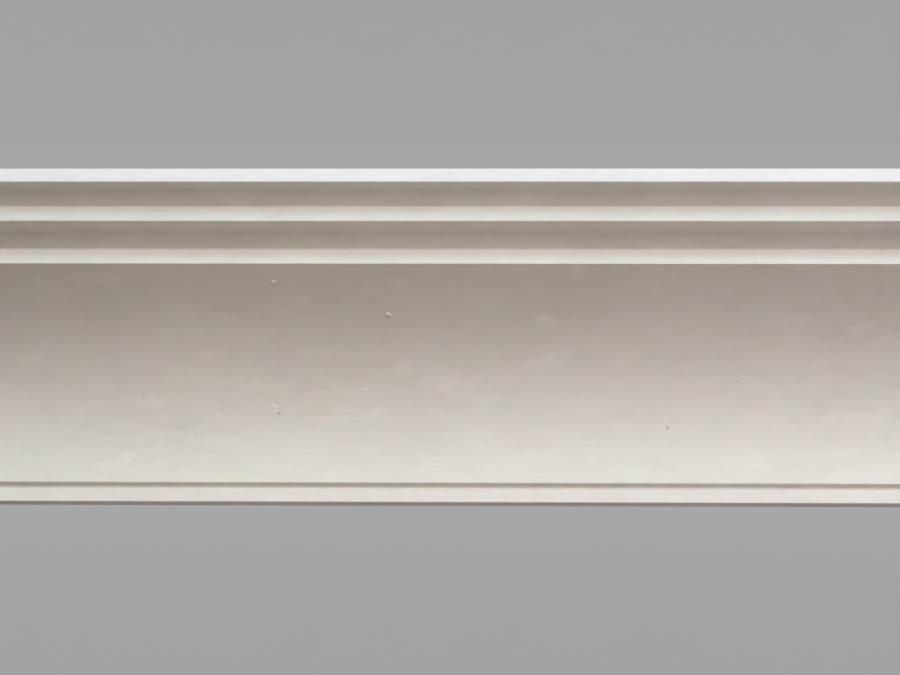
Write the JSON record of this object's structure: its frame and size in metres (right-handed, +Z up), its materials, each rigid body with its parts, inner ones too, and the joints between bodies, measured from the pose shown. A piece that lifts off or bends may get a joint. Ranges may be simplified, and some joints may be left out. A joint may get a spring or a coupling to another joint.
{
  "type": "plaster cornice",
  "caption": "Straight length of cast plaster cornice with stepped upright bands above a deep quarter-round cove and a narrow foot band, for the angle of wall and ceiling.",
  "frame": {"origin": "centre of the bounding box at floor level, in the plane of the struck back on which the piece lies face up", "axes": "+X along the length, +Y across the face from the foot on the wall side to the nose on the ceiling side, +Z up out of the face, square to the struck back"},
  "size_m": [1.5, 0.1966, 0.0489],
  "materials": {
    "plaster": "matt cast gypsum plaster, unpainted"
  },
  "bodies": {
    "root": {"cornice": "plaster"}
  },
  "joints": []
}
